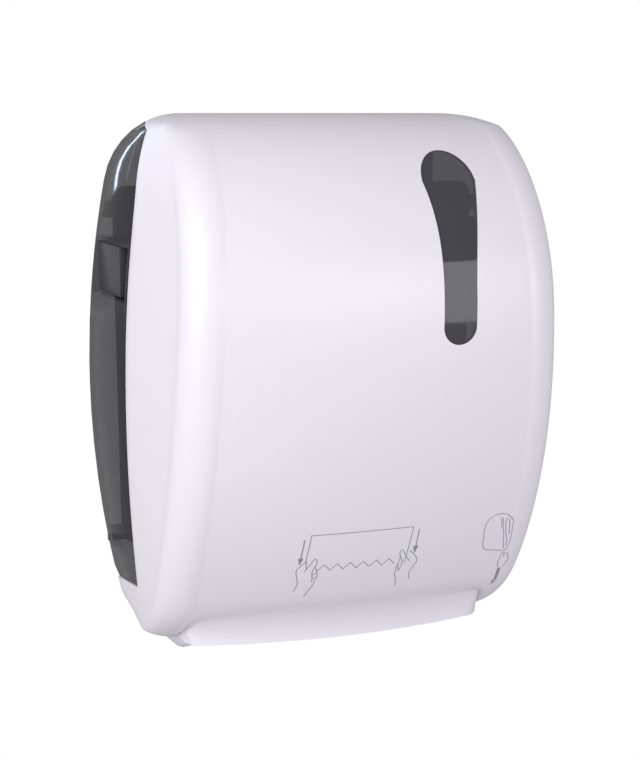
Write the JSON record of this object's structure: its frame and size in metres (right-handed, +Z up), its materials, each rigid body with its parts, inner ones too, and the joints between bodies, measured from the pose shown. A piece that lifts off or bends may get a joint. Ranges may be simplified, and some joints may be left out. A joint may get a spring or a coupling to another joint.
{
  "type": "automatic roll towel dispenser",
  "caption": "Wall-mounted roll towel dispenser with a bowed tilting cover, smoke side panels and window, a bottom outlet and a cutting feed drum with a sprung pressure roller inside.",
  "frame": {"origin": "centre of the four wall screws, on the back face that lies on the wall", "axes": "+Z up, +Y into the wall, +X to the right as seen from the front"},
  "size_m": [0.3188, 0.207, 0.3805],
  "materials": {
    "white_plastic": "white satin moulded plastic",
    "smoke_plastic": "smoke grey translucent plastic",
    "button_plastic": "dark grey plastic",
    "backing": "light grey plastic",
    "frame_plastic": "slate grey plastic",
    "acetal": "natural acetal",
    "drum_metal": "satin anodised",
    "grip_rubber": "matt black",
    "steel": "bright zinc",
    "spring_steel": "drawn wire",
    "blade_steel": "polished",
    "wheel_plastic": "green plastic"
  },
  "bodies": {
    "chassis": {"back_plate": "backing", "side_panel_left": "smoke_plastic", "side_panel_right": "smoke_plastic", "panel_screws": "steel", "side_frame_left": "frame_plastic", "side_frame_right": "frame_plastic", "frame_screws": "steel", "tie_bar": "steel", "rear_guide": "frame_plastic", "front_guide": "frame_plastic", "drum_bush_left": "acetal", "drum_bush_right": "acetal", "cam_ring": "acetal", "spring_post": "steel", "hinge_pin_left": "steel", "hinge_pin_right": "steel", "arm_pin_left": "steel", "arm_pin_right": "steel", "pawl_pin": "steel", "button_spring_left": "spring_steel", "button_spring_right": "spring_steel", "crank_spring": "spring_steel", "yoke_spring_left": "spring_steel", "yoke_spring_right": "spring_steel"},
    "cover": {"front_cover": "white_plastic", "window_pane": "smoke_plastic", "hinge_lug_left": "white_plastic", "hinge_lug_right": "white_plastic", "catch_left": "white_plastic", "catch_right": "white_plastic"},
    "release_left": {"release_button_left": "button_plastic"},
    "release_right": {"release_button_right": "button_plastic"},
    "drum": {"drum_shaft": "steel", "drum_shell": "drum_metal", "drum_cap_left": "acetal", "drum_cap_right": "acetal", "grip_bands": "grip_rubber", "crank": "acetal", "ratchet_wheel": "acetal", "hand_wheel": "wheel_plastic"},
    "knife": {"knife_shaft": "steel", "knife_holder": "acetal", "knife_blade": "blade_steel", "knife_lever": "acetal"},
    "follower": {"cam_follower": "acetal"},
    "pawl_body": {"pawl": "acetal"},
    "yoke": {"yoke_rod": "steel", "yoke_arm_left": "acetal", "yoke_arm_right": "acetal"},
    "roller": {"roller_shaft": "steel", "roller_sleeve": "grip_rubber"},
    "arm_left": {"roll_arm_left": "backing"},
    "arm_right": {"roll_arm_right": "backing"},
    "hub_left": {"roll_hub_left": "frame_plastic"},
    "hub_right": {"roll_hub_right": "frame_plastic"}
  },
  "joints": [
    {"name": "cover_hinge", "type": "hinge", "parent": "chassis", "child": "cover", "pos_m": [0, -0.012, -0.202], "axis": [1, 0, 0], "range_deg": [0, 75]},
    {"name": "release_left_push", "type": "slide", "parent": "chassis", "child": "release_left", "axis": [1, 0, 0], "range_m": [0, 0.004], "stiffness_N_per_m": 600, "deforming": ["button_spring_left"]},
    {"name": "release_right_push", "type": "slide", "parent": "chassis", "child": "release_right", "axis": [-1, 0, 0], "range_m": [0, 0.004], "stiffness_N_per_m": 600, "deforming": ["button_spring_right"]},
    {"name": "drum_spin", "type": "hinge", "parent": "chassis", "child": "drum", "pos_m": [0, -0.052, -0.112], "axis": [1, 0, 0], "continuous": true, "deforming": ["crank_spring"]},
    {"name": "knife_swing", "type": "hinge", "parent": "drum", "child": "knife", "pos_m": [0, -0.02261, -0.10142], "axis": [-1, 0, 0], "range_deg": [0, 30]},
    {"name": "follower_spin", "type": "hinge", "parent": "knife", "child": "follower", "pos_m": [0, -0.03178, -0.11452], "axis": [1, 0, 0], "continuous": true},
    {"name": "pawl_pivot", "type": "hinge", "parent": "chassis", "child": "pawl_body", "pos_m": [0, -0.03465, -0.09132], "axis": [1, 0, 0], "range_deg": [0, 5]},
    {"name": "yoke_pivot", "type": "hinge", "parent": "chassis", "child": "yoke", "pos_m": [0, -0.11775, -0.0986], "axis": [-1, 0, 0], "range_deg": [0, 5], "stiffness_Nm_per_rad": 2, "deforming": ["yoke_spring_left", "yoke_spring_right"]},
    {"name": "roller_spin", "type": "hinge", "parent": "yoke", "child": "roller", "pos_m": [0, -0.10075, -0.1206], "axis": [1, 0, 0], "continuous": true},
    {"name": "arm_left_swing", "type": "hinge", "parent": "chassis", "child": "arm_left", "pos_m": [-0.112, -0.011, 0.045], "axis": [0, 0, -1], "range_deg": [0, 10], "stiffness_Nm_per_rad": 0.6},
    {"name": "arm_right_swing", "type": "hinge", "parent": "chassis", "child": "arm_right", "pos_m": [0.112, -0.011, 0.045], "axis": [0, 0, 1], "range_deg": [0, 10], "stiffness_Nm_per_rad": 0.6},
    {"name": "hub_left_spin", "type": "hinge", "parent": "arm_left", "child": "hub_left", "pos_m": [-0.099, -0.096, 0.045], "axis": [1, 0, 0], "continuous": true},
    {"name": "hub_right_spin", "type": "hinge", "parent": "arm_right", "child": "hub_right", "pos_m": [0.099, -0.096, 0.045], "axis": [1, 0, 0], "continuous": true}
  ],
  "couplings": [
    {"joint": "roller_spin", "follows": "drum_spin", "ratio": -4.4444}
  ]
}
